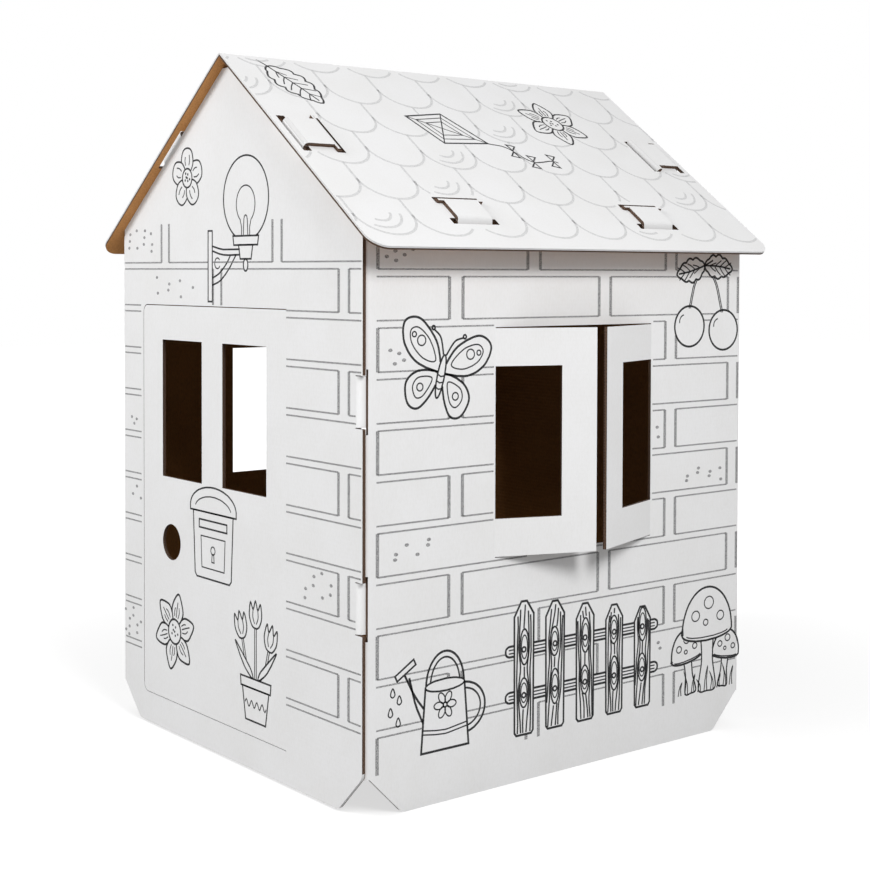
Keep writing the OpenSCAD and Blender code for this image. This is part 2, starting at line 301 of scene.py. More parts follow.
# Each face of a sheet is white liner, brown liner or cut edge, by its plane: a face square to the board
# at its outer plane is the white side, one at its inner plane the brown side, and the rest is cut edge.
def dressWall(node, turn):
    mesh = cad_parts[node].data
    centre, normal = faceTable(mesh)
    x, y, z = turn * centre[:, 0], turn * centre[:, 1], centre[:, 2]
    nx, ny, nz = turn * normal[:, 0], turn * normal[:, 1], normal[:, 2]
    halfW, halfL, board, fold = house["halfWidth"], house["halfLength"], house["board"], house["foldOuter"]
    # the brown liner of the walls is the darker kraft, painted shade for the inside
    names = ["whiteLiner", "innerKraft", "roofLiner", "creasedLiner"] + list(edgeTurns)
    index = {name: k for k, name in enumerate(names)}
    front, left = ("cutFront", "cutLeft") if turn > 0 else ("cutBack", "cutRight")
    choice = np.where(np.abs(x + halfW - board / 2) < 0.004, index[left], index[front])
    choice[near(y, -halfL) & (ny < -0.9)] = white                    # gable outside
    choice[near(y, board - halfL) & (ny > 0.9)] = brown              # gable inside
    choice[near(x, -halfW) & (nx < -0.9)] = white                    # side wall outside
    choice[near(x, board - halfW) & (nx > 0.9)] = brown              # side wall inside
    choice[near(y, halfL - board) & (ny > 0.9) & (x < 0)] = white    # flap, the face against the other gable
    choice[near(y, halfL - 2 * board) & (ny < -0.9) & (x < 0)] = brown
    # upright folds: the distance from the fold's axis tells the outer face from the inner one
    for axisY, sign in ((-halfL + fold, -1), (halfL - board - fold, 1)):
        away = np.hypot(x + halfW - fold, y - axisY)
        bend = (x < -halfW + fold + 1e-5) & (sign * (y - axisY) > -1e-5) & (np.abs(nz) < 0.1)
        choice[bend & (away > fold - 0.0012) & (away < fold + 0.0004)] = white
        choice[bend & (away < fold - board + 0.0008)] = brown
    # the right wall's open shutters: boards turned about their hinges
    angle = math.radians(house["shutterAngle"])
    start = house["windowStart"] - halfL
    for hingeY, way in ((start, 1), (start + house["windowWidth"], -1)) if turn < 0 else ():
        along = way * (y - hingeY) * math.cos(angle) - (x + halfW) * math.sin(angle)
        out = -way * (y - hingeY) * math.sin(angle) - (x + halfW) * math.cos(angle)
        facing = -way * ny * math.sin(angle) - nx * math.cos(angle)
        onShutter = ((along > 0.0005) & (along < house["windowWidth"] / 2 + 0.0005)
                     & (z > 0.369) & (z < 0.737) & (x < -halfW + 0.004))
        choice[onShutter & near(out, 0.0) & (facing > 0.9)] = white
        choice[onShutter & near(out, -board) & (facing < -0.9)] = brown
    # tabs through the roof: their sides are cut edges, the outside of the bent strip is white
    for side in (-1, 1):
        down = side * x * math.cos(slope) - (z - ridgeUnder) * math.sin(slope)     # along the slope
        rise = side * x * math.sin(slope) + (z - ridgeUnder) * math.cos(slope)     # above its underside
        lift = side * nx * math.sin(slope) + nz * math.cos(slope)
        fall = side * nx * math.cos(slope) - nz * math.sin(slope)
        raw = index["slotRight" if side * turn > 0 else "slotLeft"]
        roomy = (side * x > 0) & (rise > -0.022)
        upright = np.abs(lift) < 0.3
        gableTab = (roomy & (np.abs(down - house["gableTabDown"]) < 0.052) & (y < 0.080 - halfL)
                    & ((rise > -0.003) | (y > 0.045 - halfL)))
        sideTab = (roomy & (side < 0) & (np.abs(np.abs(y) - house["sideTabPlace"]) < 0.048) & (down > 0.39)
                   & ((rise > 0.0005) | upright & (z > 0.85)))
        for zone, edgeWay, bentWay in ((gableTab, fall, np.where(y < 0.030 - halfL, -ny, ny)),
                                       (sideTab, ny, np.where(down > 0.445, fall, -fall))):
            outside = (lift > 0.3) | upright & (bentWay > 0)
            # tab outsides take the roof's darker white liner and tab insides the darker kraft, both painted
            # shade
            choice[zone] = np.where(outside, index["roofLiner"], index["innerKraft"])[zone]
            shoulder = upright & (bentWay < 0) & (rise > 0.0055)
            choice[zone & ((np.abs(edgeWay) > 0.7) | shoulder)] = raw
            # the bent faces of the gable tabs get the darker liner: painted shade along the fold
            if zone is gableTab:
                bent = np.abs(lift) < 0.985
                choice[zone & outside & bent & (np.abs(edgeWay) < 0.7)] = index["creasedLiner"]
    choice[near(y, -halfL) & (ny < -0.5)] = white
    for name in ("Front", "Back", "Left", "Right"):
        choice[(choice == index["cut" + name]) & (z < footTop)] = index["foot" + name]
    # corner tabs: bent round the corner, then flat along the inside of the other side wall
    reach = board + house["tabBend"]
    axisX, axisY = halfW - board - house["layGap"] - reach, reach - halfL
    away = np.hypot(x - axisX, y - axisY)
    bend = (x > axisX - 1e-5) & (y < axisY + 1e-5) & (z < 0.8) & (np.abs(nz) < 0.1)
    choice[bend & (away > reach - 0.0012) & (away < reach + 0.0004)] = white
    choice[bend & (away < reach - board + 0.0008)] = brown
    flat = (y > axisY - 1e-5) & (x > axisX) & (x < halfW - board) & (z < 0.8)
    choice[flat & (nx > 0.9)] = white
    choice[flat & (nx < -0.9)] = brown
    giveMaterials(mesh, names, choice)


roofRim = {"end": 0.4405, "foot": 0.5075}          # faces past these are the roof's outer edge


def dressRoof():
    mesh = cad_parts["roof"].data
    centre, normal = faceTable(mesh)
    names = ["roofLiner", "kraftLiner", "cutRoofLeft", "cutRoofRight", "slotLeft", "slotRight"]
    choice = np.where(centre[:, 0] > 0, 3, 2)
    down = np.abs(centre[:, 0]) / math.cos(slope)
    rim = (np.abs(centre[:, 1]) > roofRim["end"]) | (down > roofRim["foot"])
    choice[~rim] += 2
    side = np.where(centre[:, 0] > 0, 1.0, -1.0)
    lift = side * normal[:, 0] * math.sin(slope) + normal[:, 2] * math.cos(slope)
    square = np.abs(normal[:, 1]) < 0.1
    # the roof's top side: the darker copy of the white liner, painted shade
    choice[square & (lift > 0.75)] = white
    choice[square & (lift < -0.75)] = brown
    giveMaterials(mesh, names, choice)


dressWall("front_and_left_wall", 1)
dressWall("right_and_back_wall", -1)
dressRoof()
print("sheets dressed")


# A printed face: its corner, its two directions and its outward normal. Points on it are in metres.
halfW, halfL = house["halfWidth"], house["halfLength"]
faces = {}
for name, corner, right, out in (("front", (-halfW, -halfL, 0), (1, 0, 0), (0, -1, 0)),
                                 ("side", (halfW, -halfL, 0), (0, 1, 0), (1, 0, 0)),
                                 ("back", (halfW, halfL, 0), (-1, 0, 0), (0, 1, 0)),
                                 ("left", (-halfW, halfL, 0), (0, -1, 0), (-1, 0, 0))):
    faces[name] = {"corner": corner, "right": right, "up": (0, 0, 1), "out": out}
for label, side in (("roofRight", 1), ("roofLeft", -1)):
    normal = np.array([side * math.sin(slope), 0, math.cos(slope)])
    down = np.array([side * math.cos(slope), 0, -math.sin(slope)])
    corner = np.array([0, -side * halfL, ridgeUnder]) + house["board"] * normal
    faces[label] = {"corner": tuple(corner), "right": (0, side, 0), "up": tuple(-down), "out": tuple(normal)}

inkHeight = {"top": 0.00018, "foot": -0.00008}    # ink stands this far over the paper and into it


def unitSteps(path, closed):
    steps = (np.roll(path, -1, 0) - path) if closed else np.diff(path, axis=0)
    return steps / np.maximum(np.linalg.norm(steps, axis=1, keepdims=True), 1e-9)


# Thins a path: a point stays where the direction has turned by 6 degrees since the last one kept.
def thinOut(path, closed=False, turn=6.0):
    steps = unitSteps(path, closed)
    heading = np.unwrap(np.arctan2(steps[:, 1], steps[:, 0]))
    turned = np.concatenate([[0.0], np.cumsum(np.abs(np.diff(heading)))])
    level = np.floor(np.degrees(turned) / turn + 0.5)
    keep = np.concatenate([[True], np.diff(level) > 0])
    if not closed:
        keep = np.concatenate([keep, [True]])
    return path[keep]


# Line: a flat bar of constant width carried along a path. At each point both sides move along the
# middle direction's normal by half the width over the cosine of half the turn there.
def inkLine(path, width, closed=False):
    path = thinOut(np.asarray(path, float), closed)
    steps = unitSteps(path, closed)
    before = np.roll(steps, 1, 0) if closed else np.concatenate([steps[:1], steps])
    after = steps if closed else np.concatenate([steps, steps[-1:]])
    middle = before + after
    middle /= np.maximum(np.linalg.norm(middle, axis=1, keepdims=True), 1e-9)
    reach = width / 2 / np.maximum((middle * after).sum(1, keepdims=True), 0.5)
    across = np.stack([-middle[:, 1], middle[:, 0]], 1) * reach
    top, foot = inkHeight["top"], inkHeight["foot"]
    count = len(path)
    rings = np.zeros((count, 4, 3))
    for k, (sign, height) in enumerate(((1, top), (-1, top), (-1, foot), (1, foot))):
        rings[:, k, :2] = path + sign * across
        rings[:, k, 2] = height
    steps = np.arange(count if closed else count - 1)
    after = (steps + 1) % count
    quads = np.concatenate([
        np.stack([4 * steps + k, 4 * after + k, 4 * after + (k + 1) % 4, 4 * steps + (k + 1) % 4], 1)
        for k in range(4)])[:, ::-1]
    if not closed:
        last = 4 * (count - 1)
        quads = np.concatenate([quads, [[3, 2, 1, 0], [last, last + 1, last + 2, last + 3]]])
    return rings.reshape(-1, 3), quads


# Spot: a small filled ellipse, drawn as a short wide ring of eight sides round its middle.
def inkSpot(centre, wide, high):
    turn = np.arange(8) * math.pi / 4
    rim = np.stack([centre[0] + wide / 2 * np.cos(turn), centre[1] + high / 2 * np.sin(turn)], 1)
    points = np.zeros((16, 3))
    points[:8, :2] = points[8:, :2] = rim
    points[:8, 2], points[8:, 2] = inkHeight["top"], inkHeight["foot"]
    steps = np.arange(8)
    after = (steps + 1) % 8
    return points, [list(range(8)), list(range(15, 7, -1))] + np.stack(
        [steps, steps + 8, after + 8, after], 1).tolist()


# One mesh from many lines and spots, laid on a printed face.
def layInk(name, face, ink, shapes):
    place = faces[face]
    right, up, out = (np.array(place[key], float) for key in ("right", "up", "out"))
    points, polygons, base = [], [], 0
    for vertices, quads in shapes:
        points.append(vertices)
        polygons += [[base + int(corner) for corner in quad] for quad in quads]
        base += len(vertices)
    flat = np.concatenate(points)
    world = np.array(place["corner"]) + flat[:, :1] * right + flat[:, 1:2] * up + flat[:, 2:3] * out
    mesh = bpy.data.meshes.new(name)
    mesh.from_pydata(world.tolist(), [], polygons)
    mesh.materials.append(materials[ink])
    mesh.update()
    piece = bpy.data.objects.new(name, mesh)
    bpy.context.scene.collection.objects.link(piece)
    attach(piece, "root")


def arc(cx, cy, rx, ry, start, end, count, turn=0.0):
    # ellipse between two angles, then turned about its middle
    angle = np.radians(np.linspace(start, end, count))
    x, y = rx * np.cos(angle), ry * np.sin(angle)
    c, s = math.cos(math.radians(turn)), math.sin(math.radians(turn))
    return np.stack([cx + c * x - s * y, cy + s * x + c * y], 1)


def smooth(points, perSpan=7, closed=False):
    # curve through the points: each span is a cubic blend of its four nearest points
    p = np.asarray(points, float)
    before, after = (p[-1:], p[:2]) if closed else (2 * p[:1] - p[1:2], 2 * p[-1:] - p[-2:-1])
    q = np.concatenate([before, p, after])
    t = np.linspace(0, 1, perSpan, endpoint=False)[None, :, None]
    a, b, c, d = (q[k:len(q) - 3 + k, None, :] for k in range(4))
    curve = 2 * b + (c - a) * t + (2 * a - 5 * b + 4 * c - d) * t ** 2 + (3 * b - 3 * c + d - a) * t ** 3
    curve = 0.5 * curve.reshape(-1, 2)
    return curve if closed else np.concatenate([curve, p[-1:]])


def moved(curve, x, y, turn=0.0, size=1.0):
    c, s = size * math.cos(math.radians(turn)), size * math.sin(math.radians(turn))
    curve = np.asarray(curve, float)
    return np.stack([x + c * curve[:, 0] - s * curve[:, 1], y + s * curve[:, 0] + c * curve[:, 1]], 1)


def straight(x0, y0, x1, y1, step=0.0015):
    count = max(2, int(math.hypot(x1 - x0, y1 - y0) / step))
    return np.linspace((x0, y0), (x1, y1), count)


# True for points inside a loop: an odd number of its sides pass to the point's right.
def insideLoop(path, loop):
    x, y = path[:, 0, None], path[:, 1, None]
    x0, y0 = loop[:, 0][None], loop[:, 1][None]
    x1, y1 = np.roll(loop[:, 0], -1)[None], np.roll(loop[:, 1], -1)[None]
    crosses = (y0 > y) != (y1 > y)
    height = np.where(y1 == y0, 1e-12, y1 - y0)
    return (crosses & (x < x0 + (y - y0) * (x1 - x0) / height)).sum(1) % 2 == 1


# Keeps the runs of a path that lie outside every box (x0, y0, x1, y1) and every loop.
def keepClear(path, zones):
    path = np.asarray(path, float)
    keep = np.ones(len(path), bool)
    for zone in zones:
        if isinstance(zone, tuple):
            x0, y0, x1, y1 = zone
            keep &= ~((path[:, 0] > x0) & (path[:, 0] < x1) & (path[:, 1] > y0) & (path[:, 1] < y1))
        else:
            keep &= ~insideLoop(path, zone)
    breaks = np.flatnonzero(np.diff(keep.astype(int))) + 1
    runs = [run for run, flag in zip(np.split(path, breaks), [keep[0]] + [keep[b] for b in breaks]) if flag]
    return [run for run in runs if len(run) > 1]


# Brickwork: running bond of outlined bricks. A course has its bricks' foot and head, and its joints
# and ends stand at one of two sets of places in turn.
brickwork = {
    "pitch": 0.0771, "joint": 0.0112, "levelLine": 0.0026, "uprightLine": 0.0062, "jointGap": 0.0270,
    "speckWide": 0.0084, "speckHigh": 0.0056, "endStroke": 0.028, "courses": 11,
}
courses = {
    "gable": {"topFoot": 0.8388, "topHead": 0.907, "lowFoot": 0.1235,
              "joints": ([0.1615, 0.527], [0.341, 0.712]), "ends": [(0.0088, 0.7570)] * 2},
    "sideWall": {"topFoot": 0.8273, "topHead": 0.885, "lowFoot": 0.066,
                 "joints": ([0.341, 0.6615], [0.179, 0.501, 0.8235]),
                 "ends": [(0.028, 0.8370), (0.026, 0.8370)]},
}


def layBricks(face, kind, clear, specks):
    work, last = dict(brickwork, **courses[kind]), brickwork["courses"] - 1
    lines = []
    for course in range(last + 1):
        foot = work["topFoot"] - course * work["pitch"]
        head = work["topHead"] if course == 0 else foot + work["pitch"] - work["joint"]
        foot = work["lowFoot"] if course == last else foot
        start, end = work["ends"][course % 2]
        places = [x + s * work["jointGap"] / 2 for x in work["joints"][course % 2] for s in (-1, 1)]
        edges = [start] + places + [end]
        levels = [foot] * (course < last) + [head] * (course > 0)
        paths = [(straight(left, level, right, level), work["levelLine"])
                 for left, right in zip(edges[::2], edges[1::2]) for level in levels]
        uprights = places + [start] * (start == work["endStroke"])
        paths += [(straight(x, foot, x, head), work["uprightLine"]) for x in uprights]
        lines += [(run, wide) for path, wide in paths for run in keepClear(path, clear)]
    shapes = [inkLine(path, wide) for path, wide in lines]
    shapes += [inkSpot(place, work["speckWide"], work["speckHigh"])
               for box in specks for place in specksIn(*box)]
    layInk(face + "_brickwork", face, "greyInk", shapes)


# Specks scattered evenly in a box (x0, z0, x1, z1 in millimetres): multiples of two irrational
# steps, without their whole part.
def specksIn(x0, z0, x1, z1, count, seed):
    k = np.arange(1, count + 1)
    u = (seed * 0.37 + k * 0.7549) % 1
    v = (seed * 0.61 + k * 0.5698) % 1
    return list(zip((x0 + u * (x1 - x0)) / 1000, (z0 + v * (z1 - z0)) / 1000))


# A drawing is a list of (path, width, closed) lines and the loops that hide the print behind it.
# It is drawn in millimetres, and placing it turns them into metres.
drawingLines = {"fine": 0.0022, "plain": 0.0030, "bold": 0.0037}
pointStep = 1.5


def newDrawing():
    return {"lines": [], "masks": []}


# Adds open lines, closed rings, or shapes. A shape is opaque: it cuts away the earlier lines behind it.
def line(art, width, *paths):
    art["lines"] += [(filled(path), drawingLines[width], False) for path in paths]


def ring(art, width, *paths):
    art["lines"] += [(filled(path, True), drawingLines[width], True) for path in paths]


def shape(art, width, *paths):
    for path in paths:
        art["lines"] = cutBehind(art["lines"], [filled(path, True)])
        art["masks"].append(filled(path, True))
        ring(art, width, path)


# More points along a path, about one at each pointStep
def filled(path, closed=False):
    path = np.asarray(path, float)
    ends = np.roll(path, -1, 0) if closed else path[1:]
    pieces = []
    for start, end in zip(path, ends):
        count = max(1, int(np.hypot(*(end - start)) / pointStep))
        pieces.append(start + (end - start) * (np.arange(count) / count)[:, None])
    return np.concatenate(pieces if closed else pieces + [path[-1:]])


def cutBehind(lines, loops):
    kept = []
    for path, width, closed in lines:
        hidden = np.any([insideLoop(path, loop) for loop in loops], axis=0)
        if not hidden.any():
            kept.append((path, width, closed))
            continue
        if closed:                                   # start the ring at its first hidden point
            path = np.roll(path, -int(np.argmax(hidden)), 0)
            path = np.concatenate([path, path[:1]])
        kept += [(run, width, False) for run in keepClear(path, loops)]
    return kept


def placed(art, x, y, turn=0.0, size=1.0, unit=0.001):
    # the same drawing turned, sized and moved to a place in metres
    size = size * unit
    return {"lines": [(moved(path, x, y, turn, size), width, closed) for path, width, closed in art["lines"]],
            "masks": [moved(loop, x, y, turn, size) for loop in art["masks"]]}


def together(*arts):
    whole = newDrawing()
    for art in arts:
        behind = cutBehind(whole["lines"], art["masks"]) if art["masks"] else whole["lines"]
        whole = {"lines": behind + art["lines"], "masks": whole["masks"] + art["masks"]}
    return whole


# Petals are one closed curve turned round the middle, with a few veins each.
def petalFlower(count, outline, heart, veins, weight="plain"):
    art = newDrawing()
    for k in range(count):
        turn = 360.0 / count * k
        shape(art, weight, moved(smooth(outline, 6, True), 0, 0, turn))
        line(art, "fine", *(moved(smooth(vein, 5), 0, 0, turn) for vein in veins))
    shape(art, weight, arc(0, 0, heart, heart, 0, 345, 24))
    for k in range(7):
        out, turn = 0.62 * heart * (k / 7) ** 0.5, k * 2.4
        ring(art, "fine", arc(out * math.cos(turn), out * math.sin(turn), 1.1, 1.1, 0, 315, 8))
    return art


def roundFlower():
    # round petals, 52 mm from the middle to their tips
    outline = [(10, -9), (26, -20), (46, -15), (52, 0), (46, 15), (26, 20), (10, 9)]
    return petalFlower(5, outline, 16.5, [[(22, -6), (31, -8.5), (40, -7)], [(22, 5), (30, 7.5), (37, 6)]])


def starFlower():
    # pointed petals, 70 mm from the middle to their tips
    outline = [(19, -10), (40, -20), (58, -11), (70, 3), (57, 14), (38, 19), (19, 10)]
    veins = [[(27, -5), (38, -7), (47, -4)], [(27, 1), (40, 2), (55, 2)], [(27, 7), (36, 9), (43, 8)]]
    return petalFlower(6, outline, 22, veins, "bold")


# Leaf: half-widths along the rib follow a sine with shallow lobes.
def lobedLeaf(length, half, lobes=5):
    art = newDrawing()
    t = np.linspace(0, 1, 61)
    wide = half * np.sin(math.pi * t ** 0.85) ** 0.7 * (0.80 + 0.20 * np.abs(np.cos(lobes * math.pi * t)))
    upper, lower = np.stack([length * t, wide], 1), np.stack([length * t, -0.9 * wide], 1)[::-1]
    shape(art, "bold", np.concatenate([upper, lower[1:-1]]))
    line(art, "plain", smooth([(-22, -4), (0, 0), (0.5 * length, 2), (0.93 * length, 0)]))
    for k in range(1, lobes + 1):
        start = length * k / (lobes + 1.6)
        reach = 0.62 * half * math.sin(math.pi * start / length)
        for side in (-reach, reach):
            line(art, "fine", smooth([(start, 1), (start + 7, 0.5 * side), (start + 16, side)], 5))
    return art


def wallLamp():
    # a round glass on a curved bracket, drawn from the middle of its glass
    art = newDrawing()
    line(art, "plain", arc(0, 4, 70, 70, -62, 242, 49))
    art["masks"].append(arc(0, 4, 70, 70, 0, 352, 45))
    line(art, "fine", arc(0, -6, 29, 31, -55, 235, 33),
         *(smooth([(x, -31), (0.75 * x, -44), (0.75 * x, -57)], 5) for x in (-17, 17)),
         smooth([(-7, -57), (-5, -30), (0, -24), (5, -30), (7, -57)], 6))
    shape(art, "plain", [(-40, -58), (40, -58), (37, -73), (-37, -73)],
          [(-22, -73), (22, -73), (17, -96), (-17, -96)], arc(0, -106, 7, 10, 0, 345, 17),
          [(-121, -48), (-107, -48), (-107, -168), (-121, -168)])
    line(art, "plain", smooth([(-107, -74), (-70, -80), (-18, -80)], 6),
         smooth([(-107, -82), (-70, -89), (-17, -89)], 6),
         smooth([(-107, -140), (-80, -132), (-52, -112), (-30, -89)]),
         smooth([(-107, -128), (-84, -120), (-62, -105), (-48, -90)]))
    line(art, "fine", arc(-90, -103, 9, 9, 40, 330, 17))
    return art


def letterBox():
    # a box with an arched lid, drawn from the middle of its foot
    art = newDrawing()
    shape(art, "plain", np.concatenate([arc(0, 122, 76, 36, 0, 180, 33), [(-76, 114), (76, 114)]]),
          [(-66, 114), (66, 114), (60, 6), (54, 0), (-54, 0), (-60, 6)])
    line(art, "fine", arc(0, 118, 60, 24, 12, 168, 21))
    ring(art, "plain", [(-46, 100), (46, 100), (46, 86), (-46, 86)])
    ring(art, "fine", [(-40, 72), (40, 72), (37, 18), (-37, 18)], arc(0, 50, 7, 7, 0, 345, 15),
         [(-2.5, 44), (2.5, 44), (4, 30), (-4, 30)])
    return art


def tulipPot():
    # three tulips in a pot, drawn from the middle of its foot
    art = newDrawing()
    bloom = [(-12, 0), (-21, 18), (-17, 42), (-8, 30), (0, 46), (8, 30), (17, 42), (21, 18), (12, 0), (0, -4)]
    for x, top, lean in ((-46, 150, 14), (46, 142, -14), (0, 176, 0)):
        line(art, "fine", *(smooth([(0.25 * x + s, 75), (0.7 * x + s, 0.5 * (top + 60)), (x + s, top)])
                            for s in (-2.8, 2.8)))
        shape(art, "plain", moved(smooth(bloom, 5, True), x, top, lean))
        line(art, "fine", *(moved(smooth([(8 * s, 30), (9 * s, 16), (3 * s, 4)], 5), x, top, lean)
                            for s in (-1, 1)))
    blade = np.array([(10, 78), (40, 98), (70, 138), (46, 120), (16, 94)])
    shape(art, "plain", *(smooth(blade * (side, 1), 6, True) for side in (-1, 1)),
          [(-52, 78), (52, 78), (50, 60), (-50, 60)], [(-45, 60), (45, 60), (34, 0), (-34, 0)])
    wave = np.linspace(-36, 36, 33)
    line(art, "fine", np.stack([wave, 31 + 6 * np.sin(wave * math.pi / 9)], 1))
    return art


def butterfly():
    # wings spread, drawn from the middle of the body
    art = newDrawing()
    outlines = [[(4, 10), (22, 46), (60, 72), (88, 62), (82, 30), (52, 6), (6, 0)],
                [(6, -2), (44, -6), (64, -28), (54, -58), (32, -62), (12, -34)],
                [(16, 16), (34, 44), (60, 58), (74, 50), (66, 30), (40, 14)],
                [(16, -12), (42, -16), (50, -32), (40, -47), (26, -40)]]
    for side in (-1, 1):
        wings = [smooth(np.array(outline) * (side, 1), 7, True)[::side] for outline in outlines]
        shape(art, "bold", *wings[:2])
        ring(art, "fine", *wings[2:], *(arc(side * x, y, r, r, 0, 340, 15)
                                        for x, y, r in ((50, 40, 8), (66, 46, 4), (36, -30, 6))))
        line(art, "plain", smooth([(side * 2, 26), (side * 14, 52), (side * 30, 62)]))
        ring(art, "plain", arc(side * 32, 64, 3, 3, 0, 330, 11))
    shape(art, "plain", arc(0, -6, 7, 34, 0, 350, 29))
    line(art, "fine", *([(-6, y), (0, y - 2), (6, y)] for y in (-24, -14, -4)))
    return art


def cherries():
    # two cherries on bent stalks with two leaves, drawn from where the stalks meet
    art = newDrawing()
    for side, drop in ((-1, 100), (1, 112)):
        shape(art, "bold", arc(side * 42, -drop, 36, 34, 0, 352, 41))
        line(art, "fine", arc(side * 42 - 12, 8 - drop, 12, 12, 95, 185, 11),
             *(smooth([(s, 0), (side * 26 + s, -30), (side * 40 + s, 30 - drop)]) for s in (-1.8, 1.8)))
    return together(art, *(placed(lobedLeaf(70, 22, 4), 0, 0, turn, unit=1) for turn in (-8, 190)))


def wateringCan():
    # drawn from the middle of its foot; the spout points left
    art = newDrawing()
    line(art, "bold", arc(36, 60, 42, 38, -120, 100, 41), arc(1, 100, 36, 50, -10, 190, 41),
         smooth([(-34, 64), (-56, 92), (-76, 128)]), smooth([(-34, 36), (-54, 78), (-66, 120)]))
    line(art, "plain", arc(36, 60, 33, 29, -120, 100, 41), arc(1, 100, 28, 41, -10, 190, 41))
    shape(art, "plain", [(-92, 126), (-58, 146), (-54, 138), (-88, 118)])
    shape(art, "bold", [(-36, 100), (38, 100), (46, 4), (-44, 4)])
    shape(art, "plain", arc(1, 100, 37, 9, 0, 350, 33))
    line(art, "fine", *(smooth([(-41, y + 2), (0, y - 3), (43, y + 2)]) for y in (30, 36)))
    ring(art, "fine", *(moved(arc(12, 0, 9, 5.5, 0, 350, 15), 1, 70, turn) for turn in range(0, 360, 60)),
         arc(1, 70, 4, 4, 0, 340, 11),
         *(smooth([(x, y + 9), (x - 4, y), (x, y - 4), (x + 4, y)], 5, True)
           for x, y in ((-96, 100), (-84, 88), (-100, 72), (-86, 56))))
    return art


def mushrooms():
    # three mushrooms in grass, drawn from the middle of the ground
    art = newDrawing()
    stem = smooth([(-17, 100), (-14, 50), (-22, 0), (0, -5), (22, 0), (14, 50), (17, 100)], 6)
    cap = np.concatenate([arc(0, 100, 64, 78, 0, 180, 35), arc(0, 100, 64, 16, 180, 355, 23)])
    spots = [arc(x, y, r, 0.9 * r, 0, 345, 17)
             for x, y, r in ((-30, 130, 10), (4, 150, 12), (34, 124, 9), (-4, 116, 6))]
    for x, size, lean in ((-38, 0.62, 8), (44, 0.55, -8), (4, 1.0, 0)):
        shape(art, "plain", moved(stem, x, 0, lean, size))
        shape(art, "bold", moved(cap, x, 0, lean, size))
        line(art, "fine", moved(arc(0, 98, 54, 8, 190, 350, 19), x, 0, lean, size))
        ring(art, "fine", *(moved(spot, x, 0, lean, size) for spot in spots))
    for k in range(9):
        x, tall = 16.5 * k - 66, 18 + 10 * (k * 5 % 3)
        line(art, "fine", smooth([(x - 3, -4), (x, 0.5 * tall), (x + 6 * (-1) ** k, tall),
                                  (x + 3, 0.4 * tall), (x + 4, -4)], 4))
    return art


def kite():
    # a kite with a bowed tail, drawn from where its spars cross
    art = newDrawing()
    outline = np.array([(0, 62), (50, 0), (0, -78), (-50, 0)])
    shape(art, "bold", outline)
    line(art, "fine", outline[::2], outline[1::2])
    ring(art, "fine", 0.45 * outline, 0.72 * outline)
    t = np.linspace(0, 1, 41)
    tail = np.stack([16 * np.sin(2.6 * math.pi * t) * t ** 0.5, -78 - 125 * t], 1)
    line(art, "plain", tail)
    for k in (14, 25, 37):
        shape(art, "plain", *(moved([(s * 2, 0), (s * 17, 8), (s * 17, -8)][::s], *tail[k], 12)
                              for s in (-1, 1)))
    return art


# Picket fence: five boards with pointed tops, a little lower each time, on two rails behind them.
fence = {"start": 322.5, "step": 68.2, "half": 20, "foot": 75, "tops": (292, 284, 271, 260, 248),
         "leans": (0.01, 0.07, -0.06, 0.02, 0.09),
         "rails": (139, 213.5), "railHalf": 8.5, "railEnds": (286, 630)}


def picketFence():
    art, boards = newDrawing(), []
    foot, rails, railHalf, (start, end) = (fence[key] for key in ("foot", "rails", "railHalf", "railEnds"))
    for k, (top, lean) in enumerate(zip(fence["tops"], fence["leans"])):
        x, half = fence["start"] + k * fence["step"], fence["half"] - 0.4 * k
        boards.append(np.array([
            (x - half + 4, foot), (x + half - 4, foot), (x + half, foot + 5), (x + half + 1, top - 22),
            (x + 6, top), (x - 6, top), (x - half - 1, top - 24), (x - half, foot + 5)]))
        shape(art, "bold", boards[-1])
        knots = []
        for j, height in enumerate(rails):
            centre, tall = (x + 1.2 * math.sin(3 * k + j), height + 4), 24 + 5 * ((k + j) % 2)
            ring(art, "plain", arc(x, height, 4, 4, 0, 330, 13), arc(*centre, 9.4, tall, 0, 350, 31))
            ring(art, "fine", arc(*centre, 6.6, 0.66 * tall, 0, 345, 27))
            knots.append(arc(*centre, 10, tall + 1, 0, 350, 31))
        # grain: a few lines that lean, and bow round the two knots
        v = np.linspace(foot + 3, top - 6, 61)
        bow = sum(np.exp(-((v - height - 4) / 26) ** 2) for height in rails)
        for lane in (-0.80, -0.42, 0.0, 0.42, 0.80):
            drift = 1.6 * np.sin(v * 0.048 + 4 * lane + 2 * k) + lean * (v - (foot + top) / 2)
            across = lane * (half - 3) + drift * (1 - 0.7 * np.minimum(bow, 1))
            across += 7.5 * np.sign(lane) * bow * (1 - abs(lane))
            for run in keepClear(np.stack([x + across, v], 1), knots):
                out = np.abs(run[:, 0] - x)
                held = run[(out < half - 1.2) & (run[:, 1] < top - 1.5 * out)]
                if len(held) > 3:
                    line(art, "plain", held)
    for height in rails:
        for offset, width in ((-1, "bold"), (1, "bold"), (-0.35, "fine"), (0.3, "fine")):
            level = height + offset * railHalf
            line(art, width, *keepClear(straight(start + 4, level, end - 4, level, pointStep), boards))
        for x, out in ((start + 4, -6), (end - 4, 6)):
            tip = [(x, -1), (x + out, -0.5), (x + out, 0.5), (x, 1)]
            line(art, "bold", smooth([(u, height + v * railHalf) for u, v in tip], 5))
        low, high = height - railHalf, height + railHalf
        art["masks"].append(np.array([(start, low), (end, low), (end, high), (start, high)]))
    return art


